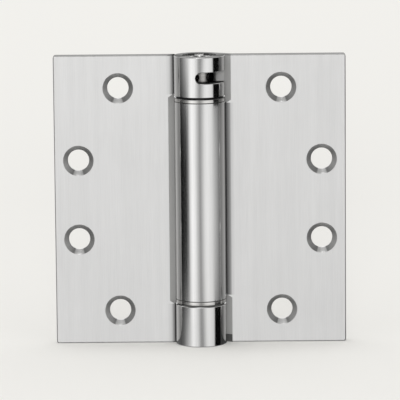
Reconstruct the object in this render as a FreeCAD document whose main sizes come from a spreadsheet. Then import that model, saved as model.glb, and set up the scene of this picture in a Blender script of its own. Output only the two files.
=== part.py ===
import FreeCAD, Part
import Sketcher
import math
import os
import re

# Spring hinge, shown open flat: two square-cornered leaves in the XZ plane, the barrel upright on Z.
# The origin is the middle of the barrel's axis, and the front of the hinge faces -Y. Sizes are millimetres.
# The left leaf carries the long middle barrel. The right leaf carries the two end knuckles.

driving_sizes = [
    ("hinge_height", 114.3),
    ("hinge_width", 114.3),
    ("leaf_thickness", 3.4),
    ("leaf_setback", 0.8),
    ("leaf_corner", 1.0),
    ("barrel_radius", 10.0),
    ("knuckle_length", 15.85),
    ("washer_thickness", 0.65),
    ("washer_recess", 1.0),
    ("flange_thickness", 1.5),
    ("bend_offset", 2.3),
    ("notch_gap", 0.45),
    ("stub_gap", 0.15),
    ("root_overlap", 1.0),
    ("crease_height", 1.2),
    ("seam_gap", 0.14),
    ("edge_break", 0.25),
    ("joint_edge_break", 0.15),
    ("leaf_edge_break", 0.35),
    ("screw_hole_diameter", 8.4),
    ("screw_head_diameter", 12.0),
    ("screw_head_angle", 82.0),
    ("inner_hole_inset", 25.25),
    ("inner_hole_drop", 13.0),
    ("outer_hole_inset", 9.45),
    ("outer_hole_rise", 15.65),
    ("slot_height", 4.35),
    ("slot_drop", 8.15),
    ("slot_start", 1.5),
    ("slot_edge_break", 0.2),
    ("running_gap", 0.06),
    ("press_gap", 0.03),
    ("seat_gap", 0.1),
    ("sleeve_length", 9.0),
    ("journal_share", 0.53),
    ("plug_thickness", 2.4),
    ("plug_recess", 0.7),
    ("wrench_hole_share", 0.47),
    ("collar_hole_share", 0.636),
    ("collar_holes", 6),
    ("collar_hole_turn", 42.0),
    ("collar_head", 9.0),
    ("collar_foot_inset", 0.8),
    ("hexagon_share", 0.614),
    ("socket_share", 0.44),
    ("socket_depth", 5.0),
    ("ring_thickness", 0.8),
    ("ring_groove", 0.6),
    ("ring_reach", 1.4),
    ("seat_thickness", 1.0),
    ("wire_share", 0.333),
    ("spring_gap", 0.35),
    ("coil_gap", 0.25),
    ("tang_gap", 0.12),
    ("prong_length", 4.6),
    ("anchor_thickness", 5.5),
    ("pin_radius", 1.5),
    ("pin_length", 6.0),
    ("pin_recess", 0.2),
]

# Levels and radii that follow from the driving sizes, written as sheet formulas.
# A share is a size inside the barrel given as a part of the bore's radius, so it follows the barrel.
followed_sizes = [
    ("half_height", "dims.hinge_height / 2"),
    ("half_width", "dims.hinge_width / 2"),
    ("bore_radius", "dims.barrel_radius - dims.leaf_thickness"),
    ("bend_line", "dims.barrel_radius + dims.bend_offset"),
    ("inner_hole_side", "places.half_width - dims.inner_hole_inset"),
    ("inner_hole_rise", "places.half_height - dims.inner_hole_drop"),
    ("outer_hole_side", "places.half_width - dims.outer_hole_inset"),
    ("journal_radius", "dims.journal_share * places.bore_radius"),
    ("wrench_hole_radius", "dims.wrench_hole_share * places.bore_radius"),
    ("collar_hole_diameter", "dims.collar_hole_share * places.bore_radius"),
    ("hexagon_radius", "dims.hexagon_share * places.bore_radius"),
    ("socket_radius", "dims.socket_share * places.bore_radius"),
    ("wire_width", "dims.wire_share * places.bore_radius"),
    ("leaf_back", "dims.leaf_setback + dims.leaf_thickness"),
    ("knuckle_foot", "places.half_height - dims.knuckle_length"),
    ("flange_top", "places.knuckle_foot - dims.washer_thickness"),
    ("barrel_top", "places.flange_top - dims.flange_thickness"),
    ("notch_side", "dims.barrel_radius + dims.notch_gap"),
    ("notch_inside", "sqrt(places.notch_side ^ 2 - places.leaf_back ^ 2)"),
    ("left_root_end", "places.flange_top + dims.root_overlap"),
    ("right_root_end", "places.barrel_top - dims.root_overlap"),
    ("notch_height", "places.half_height - places.left_root_end"),
    (
        "root_angle",
        "asin(places.bore_radius / sqrt(places.bend_line ^ 2 + dims.leaf_setback ^ 2))"
        " - atan(dims.leaf_setback / places.bend_line)",
    ),
    (
        "root_reach",
        "places.bend_line * cos(places.root_angle) - dims.leaf_setback * sin(places.root_angle)",
    ),
    ("stub_start", "sqrt((dims.barrel_radius + dims.stub_gap) ^ 2 - places.bore_radius ^ 2)"),
    ("slot_level", "places.half_height - dims.slot_drop"),
    ("slot_end", "dims.slot_height / 2 - dims.slot_start"),
    ("slot_floor", "places.slot_level - dims.slot_height / 2"),
    ("plug_top", "places.half_height - dims.plug_recess"),
    ("plug_foot", "places.plug_top - dims.plug_thickness"),
    ("pressed_radius", "places.bore_radius - dims.press_gap"),
    ("collar_radius", "places.bore_radius - dims.running_gap"),
    ("collar_foot_radius", "places.collar_radius - dims.collar_foot_inset"),
    ("collar_top", "places.slot_level + dims.collar_head / 2"),
    ("collar_step", "places.slot_level - dims.collar_head / 2"),
    ("spindle_top", "places.collar_top - dims.seat_gap"),
    ("journal_bore", "places.journal_radius + dims.running_gap"),
    ("sleeve_foot", "places.barrel_top - dims.sleeve_length"),
    ("ring_top", "places.sleeve_foot - dims.seat_gap"),
    ("ring_foot", "places.ring_top - dims.ring_thickness"),
    ("groove_top", "places.ring_top + dims.seat_gap / 2"),
    ("groove_foot", "places.ring_foot - dims.seat_gap / 2"),
    ("groove_radius", "places.journal_radius - dims.ring_groove"),
    ("ring_bore", "places.groove_radius + dims.press_gap"),
    ("ring_radius", "places.journal_radius + dims.ring_reach"),
    ("seat_top", "places.ring_foot - dims.seat_gap"),
    ("seat_foot", "places.seat_top - dims.seat_thickness"),
    ("seat_radius", "places.bore_radius - 2 * dims.running_gap"),
    ("coil_radius", "places.bore_radius - dims.spring_gap"),
    ("coil_middle", "places.coil_radius - places.wire_width / 2"),
    ("coil_top", "places.seat_foot - dims.seat_gap - places.wire_width / 2"),
    ("prong_foot", "places.seat_foot - dims.prong_length"),
    ("journal_foot", "places.ring_foot - 2 * dims.seat_gap"),
    ("anchor_foot", "places.journal_foot - dims.seat_gap"),
    ("anchor_top", "places.anchor_foot - dims.anchor_thickness"),
    ("lower_seat_top", "places.anchor_top - dims.seat_thickness"),
    ("coil_foot", "places.lower_seat_top - dims.seat_gap - places.wire_width / 2"),
    ("anchor_prong_top", "places.lower_seat_top - dims.prong_length"),
    ("coil_height", "places.coil_top + places.coil_foot"),
    ("spring_turns", "floor(places.coil_height / (places.wire_width + dims.coil_gap))"),
    ("coil_pitch", "places.coil_height / (places.spring_turns + dims.collar_hole_turn / 360)"),
    ("pin_hole_radius", "dims.pin_radius + dims.press_gap"),
    ("pin_hole_depth", "dims.pin_recess + dims.pin_length + dims.seat_gap"),
    ("pivot_foot", "places.plug_foot - dims.seat_gap"),
    ("pivot_pin_level", "(places.knuckle_foot + places.pivot_foot) / 2"),
    ("anchor_pin_level", "(places.anchor_foot + places.anchor_top) / 2"),
]

doc = FreeCAD.newDocument("spring_hinge")


def fill_sheet(name, rows):
    sheet = doc.addObject("Spreadsheet::Sheet", name)
    for row, (alias, content) in enumerate(rows, start=1):
        sheet.set(f"A{row}", alias)
        sheet.set(f"B{row}", str(content))
        sheet.setAlias(f"B{row}", alias)
    return sheet


dims = fill_sheet("dims", driving_sizes)
places = fill_sheet("places", [(alias, "=" + formula) for alias, formula in followed_sizes])
doc.recompute()

drawn_in_dims = {alias for alias, size in driving_sizes}
drawn_in_places = {alias for alias, formula in followed_sizes}
finished = []


def reference(formula):
    """Put the sheet's name before each size in a formula."""

    def full_name(match):
        word = match.group()
        if word in drawn_in_dims:
            return f"dims.{word}"
        return f"places.{word}" if word in drawn_in_places else word

    return re.sub(r"[a-z_]+", full_name, formula)


def value(alias):
    """Read one size from the sheets as a plain number."""
    found = (dims if alias in drawn_in_dims else places).get(alias)
    return float(getattr(found, "Value", found))


def start_body(label):
    body = doc.addObject("PartDesign::Body", label)
    body.Label = label
    finished.append(body)
    return body


def plane_of(body, role):
    return next(item for item in body.Origin.OriginFeatures if item.Role == role)


def add_sketch(body, name, plane="XZ_Plane", lift="0"):
    sketch = body.newObject("Sketcher::SketchObject", name)
    sketch.AttachmentSupport = [(plane_of(body, plane), "")]
    sketch.MapMode = "FlatFace"
    sketch.setExpression("AttachmentOffset.Base.z", reference(lift))
    return sketch


def pin_corner(sketch, line, horizontal, expression):
    """Bind one coordinate of a line's first point to an expression, which may be zero or below zero."""
    zero = expression == "0"
    below = expression.startswith("-")
    if zero:
        axis = -2 if horizontal else -1
        sketch.addConstraint(Sketcher.Constraint("PointOnObject", line, 1, axis))
        return
    kind = "DistanceX" if horizontal else "DistanceY"
    point = sketch.Geometry[line].StartPoint
    distance = abs(point.x if horizontal else point.y)
    ends = (line, 1, -1, 1) if below else (-1, 1, line, 1)
    index = sketch.addConstraint(Sketcher.Constraint(kind, *ends, distance))
    sketch.setExpression(f"Constraints[{index}]", reference(expression[1:] if below else expression))


def measure(expression):
    """Work out a signed sum of sizes, such as -barrel_top + crease_height, as a number."""
    total, sign = 0.0, 1.0
    for word in expression.replace("-", " - ").replace("+", " + ").split():
        if word in "+-":
            sign = -1.0 if word == "-" else 1.0
        elif word != "0":
            total += sign * value(word)
    return total


def add_outline(sketch, corners):
    """Draw a closed outline whose corners are pairs of sizes or signed sums of sizes."""
    points = [FreeCAD.Vector(measure(across), measure(up), 0) for across, up in corners]
    lines = [Part.LineSegment(start, end) for start, end in zip(points, points[1:] + points[:1])]
    sketch.addGeometry(lines, False)
    for line in range(len(lines)):
        following = (line + 1) % len(lines)
        sketch.addConstraint(Sketcher.Constraint("Coincident", line, 2, following, 1))
    for line, corner in enumerate(corners):
        for horizontal, expression in zip((True, False), corner):
            if expression.startswith("-") and (" + " in expression or " - " in expression):
                expression = flip_signs(expression)
            pin_corner(sketch, line, horizontal, expression)
    return sketch


def flip_signs(expression):
    """Turn -a + b into -(a - b), so that the size inside stays above zero."""
    swapped = expression[1:].replace(" + ", " ~ ").replace(" - ", " + ").replace(" ~ ", " - ")
    return f"-( {swapped} )"


def add_turned(label, corners, mirrored=False):
    """Revolve an outline of radius and level pairs about the barrel's axis."""
    body = start_body(label)
    sketch = add_sketch(body, f"{label}_outline")
    if mirrored:
        corners = [(across, up if up == "0" else swap_side(up)) for across, up in corners]
    add_outline(sketch, corners)
    turned = body.newObject("PartDesign::Revolution", f"{label}_turned")
    turned.Profile = sketch
    turned.ReferenceAxis = (sketch, ["V_Axis"])
    turned.Angle = 360
    doc.recompute()
    return body


def swap_side(level):
    """Give the level on the other side of the hinge's middle."""
    return level[1:] if level.startswith("-") else f"-{level}"


def add_primitive(body, kind, name, sizes, plane="XY_Plane", offsets=None, turn=None):
    """Add a solid or a cut with its sizes and its place bound to the sheets."""
    feature = body.newObject(f"PartDesign::{kind}", name)
    feature.AttachmentSupport = [(plane_of(body, plane), "")]
    feature.MapMode = "FlatFace"
    for key, expression in sizes.items():
        feature.setExpression(key, reference(expression))
    for axis, expression in (offsets or {}).items():
        feature.setExpression(f"AttachmentOffset.Base.{axis}", reference(expression))
    if turn:
        feature.AttachmentOffset = FreeCAD.Placement(
            FreeCAD.Vector(), FreeCAD.Rotation(FreeCAD.Vector(0, 0, 1), 10)
        )
        feature.setExpression("AttachmentOffset.Rotation.Angle", reference(turn))
    doc.recompute()
    return feature


def add_leaf(label, side, curls, root_levels, notches, outline):
    """One leaf, cut and rolled from a single sheet. side is -1 for the left leaf and 1 for the right."""
    body = start_body(label)
    sketch = add_sketch(body, f"{label}_blank", "XZ_Plane", "-1 * leaf_back")
    add_outline(sketch, outline)
    plate = body.newObject("PartDesign::Pad", f"{label}_plate")
    plate.Profile = sketch
    plate.setExpression("Length", "dims.leaf_thickness")
    doc.recompute()
    root_turn = "-1 * root_angle" if side > 0 else "root_angle"
    for number, (foot, length) in enumerate(curls, start=1):
        add_primitive(
            body, "AdditiveCylinder", f"{label}_roll{number}",
            {"Radius": "barrel_radius", "Height": length}, offsets={"z": foot},
        )
        add_root(body, f"{label}_root{number}", side, root_turn, "0", foot, length)
        add_primitive(
            body, "SubtractiveCylinder", f"{label}_bore{number}",
            {"Radius": "bore_radius", "Height": length}, offsets={"z": foot},
        )
        cut_seam(body, f"{label}_seam{number}", side, root_turn, foot, length)
    for number, (foot, length) in enumerate(root_levels, start=1):
        add_root(body, f"{label}_stub{number}", side, root_turn, "stub_start", foot, length)
    for number, (foot, length) in enumerate(notches, start=1):
        add_primitive(
            body, "SubtractiveCylinder", f"{label}_notch{number}",
            {"Radius": "notch_side", "Height": length}, offsets={"z": foot},
        )
    round_leaf_corners(body, side)
    break_leaf_rim(body, side)
    cut_screw_holes(body, label, side)
    return body


def rotated_box(body, kind, name, side, root_turn, start, rise, foot, reach, width, length):
    """A box laid along the sloping root. start runs along the slope and rise away from the axis."""
    along = f"({start}) * cos(root_angle) + ({rise}) * sin(root_angle)"
    away = f"-1 * ({start}) * sin(root_angle) + ({rise}) * cos(root_angle)"
    if side < 0:
        along = f"-1 * (({start}) + ({reach})) * cos(root_angle) - ({rise}) * sin(root_angle)"
        away = f"-1 * (({start}) + ({reach})) * sin(root_angle) + ({rise}) * cos(root_angle)"
    return add_primitive(
        body, kind, name,
        {"Length": reach, "Width": width, "Height": length},
        offsets={"x": along, "y": away, "z": foot}, turn=root_turn,
    )


def add_root(body, name, side, root_turn, start, foot, length):
    """The stretch of sheet between the flat leaf and the curl, sloping back behind the axis."""
    reach = f"root_reach - {start}"
    rotated_box(
        body, "AdditiveBox", name, side, root_turn, start, "bore_radius", foot,
        reach, "leaf_thickness", length,
    )


def cut_seam(body, name, side, root_turn, foot, length):
    """The thin line that stays open between the curl's tip and its own root."""
    rotated_box(
        body, "SubtractiveBox", name, side, root_turn, "0", "bore_radius - seam_gap", foot,
        "barrel_radius", "seam_gap", length,
    )


def round_leaf_corners(body, side):
    """Ease the two outer corners of the leaf."""
    tip = body.Tip
    corners = []
    for number, edge in enumerate(tip.Shape.Edges, start=1):
        box = edge.BoundBox
        at_side = abs(box.Center.x - side * value("half_width")) < 0.01
        at_end = abs(abs(box.Center.z) - value("half_height")) < 0.01
        if at_side and at_end:
            corners.append(f"Edge{number}")
    rounding = body.newObject("PartDesign::Fillet", f"{body.Name}_corners")
    rounding.Base = (tip, corners)
    rounding.setExpression("Radius", "dims.leaf_corner")
    doc.recompute()


def break_leaf_rim(body, side):
    """Ease the front edges round the three outer sides of the leaf."""
    front, foot, reach = value("leaf_setback"), value("half_height"), value("half_width")
    inside = value("bend_line") + 0.01

    def on_rim(edge):
        box = edge.BoundBox
        middle = edge.valueAt((edge.FirstParameter + edge.LastParameter) / 2)
        flat = abs(box.YMin - front) < 0.01
        at_end = abs(abs(middle.z) - foot) < 0.5 and side * middle.x > inside
        at_side = abs(side * middle.x - reach) < 0.5
        return flat and box.YLength < 0.01 and (at_end or at_side)

    break_edges(body, f"{body.Name}_rim", on_rim, "leaf_edge_break")


def cut_screw_holes(body, label, side):
    """Four countersunk holes, two near the barrel and two near the outer edge."""
    sketch = add_sketch(body, f"{label}_hole_centres", "XZ_Plane", "-1 * leaf_setback")
    for across, rise in (("inner_hole_side", "inner_hole_rise"), ("outer_hole_side", "outer_hole_rise")):
        for up in (1, -1):
            centre = FreeCAD.Vector(side * value(across), up * value(rise), 0)
            circle = sketch.addGeometry(
                Part.Circle(centre, FreeCAD.Vector(0, 0, 1), value("screw_hole_diameter") / 2), False
            )
            for kind, sign, alias in (("DistanceX", side, across), ("DistanceY", up, rise)):
                ends = (-1, 1, circle, 3) if sign > 0 else (circle, 3, -1, 1)
                index = sketch.addConstraint(Sketcher.Constraint(kind, *ends, value(alias)))
                sketch.setExpression(f"Constraints[{index}]", reference(alias))
            index = sketch.addConstraint(
                Sketcher.Constraint("Diameter", circle, value("screw_hole_diameter"))
            )
            sketch.setExpression(f"Constraints[{index}]", "dims.screw_hole_diameter")
    doc.recompute()
    hole = body.newObject("PartDesign::Hole", f"{label}_screw_holes")
    hole.Profile = sketch
    doc.recompute()
    hole.Threaded = False
    hole.DepthType = "ThroughAll"
    hole.HoleCutType = "Countersink"
    hole.HoleCutCustomValues = True
    hole.setExpression("Diameter", "dims.screw_hole_diameter")
    hole.setExpression("HoleCutDiameter", "dims.screw_head_diameter")
    hole.setExpression("HoleCutCountersinkAngle", "dims.screw_head_angle")
    doc.recompute()


def break_edges(body, name, chosen, size):
    """Chamfer the edges of the newest feature that the given test picks."""
    tip = body.Tip
    picked = [f"Edge{number}" for number, edge in enumerate(tip.Shape.Edges, start=1) if chosen(edge)]
    chamfer = body.newObject("PartDesign::Chamfer", name)
    chamfer.Base = (tip, picked)
    chamfer.setExpression("Size", reference(size))
    doc.recompute()


def break_round_edges(body, name, radius, levels, size):
    """Chamfer the arcs of this radius about the barrel's axis at the given levels."""

    def on_arc(edge):
        curve = edge.Curve
        if not isinstance(curve, Part.Circle) or abs(curve.Radius - value(radius)) > 0.001:
            return False
        centred = math.hypot(curve.Center.x, curve.Center.y) < 0.001
        return centred and any(abs(curve.Center.z - level) < 0.001 for level in levels)

    break_edges(body, name, on_arc, size)


def make_barrel_leaf():
    """Left leaf: the long barrel between two notches for the other leaf's knuckles."""
    edge, notch, inside, bend = "-half_width", "-notch_side", "-notch_inside", "-bend_line"
    outline = [
        (edge, "-half_height"), (inside, "-half_height"),
        (inside, "-left_root_end"), (notch, "-left_root_end"),
        (bend, "-left_root_end + crease_height"), (bend, "left_root_end - crease_height"),
        (notch, "left_root_end"), (inside, "left_root_end"),
        (inside, "half_height"), (edge, "half_height"),
    ]
    curls = [("-1 * barrel_top", "2 * barrel_top")]
    roots = [("-1 * left_root_end", "2 * left_root_end")]
    notches = [("left_root_end", "notch_height"), ("-1 * half_height", "notch_height")]
    body = add_leaf("barrel_leaf", -1, curls, roots, notches, outline)
    drill_from_behind(body, "anchor_pin_hole", "anchor_pin_level")
    ends = (value("barrel_top"), -value("barrel_top"))
    break_round_edges(body, "barrel_ends", "barrel_radius", ends, "joint_edge_break")


def make_knuckle_leaf():
    """Right leaf: a knuckle at each end, with the pin slot in the upper one."""
    edge, notch, inside, bend = "half_width", "notch_side", "notch_inside", "bend_line"
    outline = [
        (edge, "-half_height"), (edge, "half_height"), (bend, "half_height"),
        (bend, "right_root_end + crease_height"), (notch, "right_root_end"), (inside, "right_root_end"),
        (inside, "-right_root_end"), (notch, "-right_root_end"),
        (bend, "-right_root_end - crease_height"), (bend, "-half_height"),
    ]
    curls = [("knuckle_foot", "knuckle_length"), ("-1 * half_height", "knuckle_length")]
    stub = "half_height - right_root_end"
    roots = [("right_root_end", stub), ("-1 * half_height", stub)]
    notches = [("-1 * right_root_end", "2 * right_root_end")]
    body = add_leaf("knuckle_leaf", 1, curls, roots, notches, outline)
    drill_from_behind(body, "pivot_pin_hole", "pivot_pin_level")
    for level, size in (("half_height", "edge_break"), ("knuckle_foot", "joint_edge_break")):
        ends = (value(level), -value(level))
        break_round_edges(body, f"{level}_edges", "barrel_radius", ends, size)
    cut_pin_slot(body)


def drill_from_behind(body, name, level):
    """A blind hole for a cross pin, from the back of the barrel and below the middle of the hinge."""
    add_primitive(
        body, "SubtractiveCylinder", name, {"Radius": "pin_hole_radius", "Height": "pin_hole_depth"},
        plane="XZ_Plane", offsets={"y": f"-1 * {level}", "z": "-1 * barrel_radius"},
    )


def cut_pin_slot(body):
    """The slot in the upper knuckle: half round at its left end, and open to the root at its right."""
    add_primitive(
        body, "SubtractiveCylinder", "slot_round_end",
        {"Radius": "slot_height / 2", "Height": "barrel_radius"},
        plane="XZ_Plane", offsets={"x": "slot_end", "y": "slot_level"},
    )
    add_primitive(
        body, "SubtractiveBox", "slot_front",
        {
            "Length": "bend_line - slot_end",
            "Width": "barrel_radius + leaf_setback",
            "Height": "slot_height",
        },
        offsets={"x": "slot_end", "y": "-1 * barrel_radius", "z": "slot_floor"},
    )
    rotated_box(
        body, "SubtractiveBox", "slot_tip", 1, "-1 * root_angle", "0", "0", "slot_floor",
        "barrel_radius", "bore_radius", "slot_height",
    )
    floor, roof = value("slot_floor"), value("slot_floor") + value("slot_height")
    radius = value("barrel_radius")

    def on_slot_rim(edge):
        middle = edge.valueAt((edge.FirstParameter + edge.LastParameter) / 2)
        outside = abs(math.hypot(middle.x, middle.y) - radius) < 0.01
        return outside and floor - 0.01 < middle.z < roof + 0.01

    break_edges(body, "slot_rim", on_slot_rim, "slot_edge_break")


def make_bearing(label, mirrored):
    """A flanged bush: the bright ring beside the barrel, and a sleeve pressed into its bore."""
    body = add_turned(
        label,
        [
            ("journal_bore", "sleeve_foot"), ("pressed_radius", "sleeve_foot"),
            ("pressed_radius", "barrel_top"), ("barrel_radius", "barrel_top"),
            ("barrel_radius", "flange_top"), ("journal_bore", "flange_top"),
        ],
        mirrored,
    )
    sign = -1 if mirrored else 1
    rims = (sign * value("barrel_top"), sign * value("flange_top"))
    break_round_edges(body, f"{label}_rim", "barrel_radius", rims, "joint_edge_break")


def make_thrust_washer(label, mirrored):
    """A thin dark washer between the ring and the end knuckle."""
    outside = "barrel_radius - washer_recess"
    add_turned(
        label,
        [
            ("journal_bore", "flange_top"), (outside, "flange_top"),
            (outside, "knuckle_foot"), ("journal_bore", "knuckle_foot"),
        ],
        mirrored,
    )


def make_collar():
    """The collar that takes the tension pin: radial holes round it and a six-sided hole down it."""
    body = add_turned(
        "tension_collar",
        [
            ("0", "knuckle_foot"), ("collar_foot_radius", "knuckle_foot"),
            ("collar_foot_radius", "collar_step"), ("collar_radius", "collar_step"),
            ("collar_radius", "collar_top"), ("0", "collar_top"),
        ],
    )
    add_primitive(
        body, "SubtractivePrism", "collar_hexagon",
        {"Circumradius": "hexagon_radius + press_gap", "Height": "collar_top"}, offsets={"z": "0"},
    )
    hole = add_primitive(
        body, "SubtractiveCylinder", "pin_hole",
        {"Radius": "collar_hole_diameter / 2", "Height": "barrel_radius"},
        plane="XZ_Plane", offsets={"y": "slot_level"},
    )
    pattern = body.newObject("PartDesign::PolarPattern", "pin_holes")
    pattern.Originals = [hole]
    pattern.Axis = (plane_of(body, "Z_Axis"), [""])
    pattern.Angle = 360
    pattern.setExpression("Occurrences", "dims.collar_holes")
    body.Tip = pattern
    doc.recompute()
    body.setExpression("Placement.Rotation.Angle", "dims.collar_hole_turn")
    doc.recompute()


def make_spindle():
    """The spindle: a six-sided head in the collar, a journal, a ring groove and prongs for the spring."""
    body = add_turned(
        "spring_spindle",
        [
            ("0", "prong_foot"), ("journal_radius", "prong_foot"), ("journal_radius", "groove_foot"),
            ("groove_radius", "groove_foot"), ("groove_radius", "groove_top"),
            ("journal_radius", "groove_top"), ("journal_radius", "knuckle_foot"), ("0", "knuckle_foot"),
        ],
    )
    add_primitive(
        body, "AdditivePrism", "spindle_head",
        {"Circumradius": "hexagon_radius", "Height": "spindle_top - knuckle_foot"},
        offsets={"z": "knuckle_foot"},
    )
    add_primitive(
        body, "SubtractivePrism", "wrench_socket",
        {"Circumradius": "socket_radius", "Height": "socket_depth"},
        offsets={"z": "spindle_top - socket_depth"},
    )
    cut_tang_slot(body, "spindle_slot", "prong_foot")
    body.setExpression("Placement.Rotation.Angle", "dims.collar_hole_turn")
    doc.recompute()


def cut_tang_slot(body, name, foot):
    """The slot across the prongs that takes the straight end of the spring."""
    add_primitive(
        body, "SubtractiveBox", name,
        {"Length": "2 * bore_radius", "Width": "wire_width + 2 * tang_gap", "Height": "prong_length"},
        offsets={"x": "-1 * bore_radius", "y": "-1 * (wire_width / 2 + tang_gap)", "z": foot},
    )


def make_retaining_ring(label, mirrored):
    """A ring sprung into the groove of the spindle or of the pivot."""
    body = add_turned(
        label,
        [
            ("ring_bore", "ring_foot"), ("ring_radius", "ring_foot"),
            ("ring_radius", "ring_top"), ("ring_bore", "ring_top"),
        ],
        mirrored,
    )
    add_primitive(
        body, "SubtractiveBox", f"{label}_mouth",
        {"Length": "ring_radius", "Width": "groove_radius", "Height": "2 * barrel_top"},
        offsets={"y": "-1 * (groove_radius / 2)", "z": "-1 * barrel_top"},
    )


def make_spring_seat(label, foot, top):
    """A plain washer between the coil and the piece that backs it."""
    bore = "journal_radius + running_gap"
    add_turned(label, [(bore, foot), ("seat_radius", foot), ("seat_radius", top), (bore, top)])


def make_anchor():
    """The plug that fixes the lower end of the spring to the barrel."""
    body = add_turned(
        "spring_anchor",
        [
            ("0", "-anchor_foot"), ("pressed_radius", "-anchor_foot"),
            ("pressed_radius", "-anchor_top"), ("journal_radius", "-anchor_top"),
            ("journal_radius", "-anchor_prong_top"), ("0", "-anchor_prong_top"),
        ],
    )
    cut_tang_slot(body, "anchor_slot", "-1 * anchor_prong_top - prong_length")
    drill_from_behind(body, "anchor_pin_seat", "anchor_pin_level")


def make_pivot():
    """The fixed pivot of the lower knuckle, turning in the lower bearing."""
    body = add_turned(
        "lower_pivot",
        [
            ("0", "-pivot_foot"), ("pressed_radius", "-pivot_foot"),
            ("pressed_radius", "-knuckle_foot"), ("journal_radius", "-knuckle_foot"),
            ("journal_radius", "-groove_top"), ("groove_radius", "-groove_top"),
            ("groove_radius", "-groove_foot"), ("journal_radius", "-groove_foot"),
            ("journal_radius", "-journal_foot"), ("0", "-journal_foot"),
        ],
    )
    drill_from_behind(body, "pivot_pin_seat", "pivot_pin_level")


def make_cross_pin(label, level):
    """A plain pin that locks a plug in its bore, flush with the back of the barrel."""
    pin = doc.addObject("Part::Cylinder", label)
    pin.Label = label
    pin.setExpression("Radius", "dims.pin_radius")
    pin.setExpression("Height", "dims.pin_length")
    pin.Placement = FreeCAD.Placement(
        FreeCAD.Vector(0, value("barrel_radius"), -value(level)),
        FreeCAD.Rotation(FreeCAD.Vector(1, 0, 0), 90),
    )
    pin.setExpression("Placement.Base.y", "dims.barrel_radius - dims.pin_recess")
    pin.setExpression("Placement.Base.z", f"-places.{level}")
    finished.append(pin)


def make_end_plugs():
    """The plugs that close the ends of the knuckles. The upper one leaves a way in for the wrench."""
    body = add_turned(
        "top_end_plug",
        [
            ("wrench_hole_radius", "plug_foot"), ("pressed_radius", "plug_foot"),
            ("pressed_radius", "plug_top"), ("wrench_hole_radius", "plug_top"),
        ],
    )
    for radius in ("pressed_radius", "wrench_hole_radius"):
        break_round_edges(body, f"plug_{radius}", radius, [value("plug_top")], "edge_break")
    body = add_turned(
        "bottom_end_plug",
        [
            ("0", "-plug_top"), ("pressed_radius", "-plug_top"), ("pressed_radius", "-plug_foot"),
            ("0", "-plug_foot"),
        ],
    )
    break_round_edges(body, "bottom_plug_rim", "pressed_radius", [-value("plug_top")], "edge_break")


def make_spring():
    """The torsion spring: square wire coiled in the barrel, with a straight end across each slot."""
    coil = doc.addObject("Part::Feature", "spring_coil")
    coil.Shape = wind_coil()
    coil.Placement = FreeCAD.Placement(FreeCAD.Vector(0, 0, -value("coil_foot")), FreeCAD.Rotation())
    tangs = [
        make_tang("lower_tang", "-places.coil_foot", "0"),
        make_tang("upper_tang", "places.coil_top", "dims.collar_hole_turn"),
    ]
    spring = doc.addObject("Part::MultiFuse", "torsion_spring")
    spring.Shapes = [coil] + tangs
    spring.Label = "torsion_spring"
    finished.append(spring)
    doc.recompute()


def wind_coil():
    """Sweep one turn of square wire, then stack turned copies of its sides between the two end faces."""
    turns = round(value("spring_turns"))
    rise, pitch = value("coil_height") / turns, value("coil_pitch")
    middle, half_wire = value("coil_middle"), value("wire_width") / 2
    square = [(-1, -1), (1, -1), (1, 1), (-1, 1), (-1, -1)]
    section = Part.makePolygon(
        [FreeCAD.Vector(middle + across * half_wire, 0, up * half_wire) for across, up in square]
    )
    path = Part.makeHelix(pitch, rise, middle)
    turn = Part.Wire(path.Edges).makePipeShell([section], True, True)
    by_area = sorted(turn.Faces, key=lambda face: face.Area)
    first_end, last_end = sorted(by_area[:2], key=lambda face: face.CenterOfMass.z)
    faces = [first_end, wound(last_end, turns - 1, rise, pitch)]
    faces += [wound(side, number, rise, pitch) for number in range(turns) for side in by_area[2:]]
    shell = Part.makeShell(faces)
    shell.sewShape()
    return Part.makeSolid(shell)


def wound(face, number, rise, pitch):
    """A copy of a face, moved along the coil by a number of its equal stretches."""
    copy = face.copy()
    copy.rotate(FreeCAD.Vector(), FreeCAD.Vector(0, 0, 1), 360 * number * rise / pitch)
    copy.translate(FreeCAD.Vector(0, 0, number * rise))
    return copy


def make_tang(name, level, turn):
    """A straight end of the spring, from the coil's middle line across the axis."""
    tang = doc.addObject("Part::Box", name)
    tang.setExpression("Length", "places.coil_middle + places.journal_radius")
    tang.setExpression("Width", "places.wire_width")
    tang.setExpression("Height", "places.wire_width")
    tang.Placement = FreeCAD.Placement(FreeCAD.Vector(), FreeCAD.Rotation(FreeCAD.Vector(0, 0, 1), 10))
    tang.setExpression("Placement.Rotation.Angle", turn)
    back, across = "-places.journal_radius", "places.wire_width / 2"
    tang.setExpression("Placement.Base.x", f"{back} * cos({turn}) + {across} * sin({turn})")
    tang.setExpression("Placement.Base.y", f"{back} * sin({turn}) - {across} * cos({turn})")
    tang.setExpression("Placement.Base.z", f"{level} - {across}")
    return tang


def check_document():
    """Stop if any object failed, or if a finished piece is empty or not a sound solid."""
    for item in doc.Objects:
        if "Invalid" in item.State or "Error" in item.State:
            raise RuntimeError(f"{item.Name} failed: {item.State}")
    for piece in finished:
        if piece.Shape.isNull() or not piece.Shape.isValid() or not piece.Shape.Solids:
            raise RuntimeError(f"{piece.Label} has no sound solid")


def export_pieces():
    os.makedirs("parts", exist_ok=True)
    for piece in finished:
        piece.Shape.exportStep(os.path.join("parts", f"{piece.Label}.step"))
        print(piece.Label, len(piece.Shape.Solids), round(piece.Shape.Volume, 2))


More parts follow.
